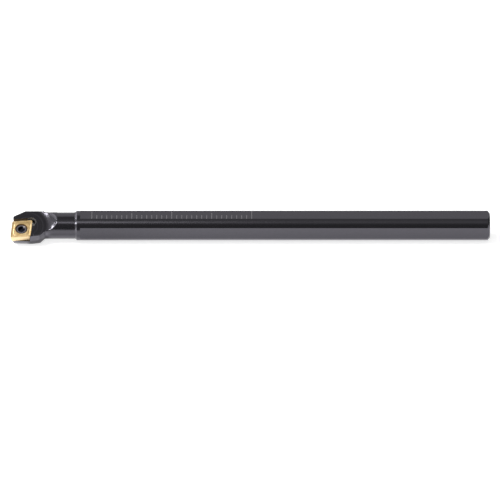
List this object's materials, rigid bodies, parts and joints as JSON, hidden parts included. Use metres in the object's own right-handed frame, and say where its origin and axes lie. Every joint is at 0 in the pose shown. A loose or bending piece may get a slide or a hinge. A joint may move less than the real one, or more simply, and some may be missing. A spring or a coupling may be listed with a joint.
{
  "type": "indexable boring bar",
  "caption": "Slim steel boring bar for a lathe: flatted round shank, turned neck, offset head and a diamond insert held by a countersunk screw.",
  "frame": {"origin": "on the shank's axis, where its full diameter begins behind the neck", "axes": "+X along the shank towards its tail, -Y the side that the insert's nose stands out on, +Z out of the flat on top"},
  "size_m": [0.1524, 0.0111, 0.0096],
  "materials": {
    "bar_steel": "black oxide, satin",
    "insert_coating": "gold coloured hard coating, satin",
    "screw_steel": "black oxide, satin"
  },
  "bodies": {
    "root": {"bar": "bar_steel", "insert": "insert_coating", "clamp_screw": "screw_steel"}
  },
  "joints": []
}
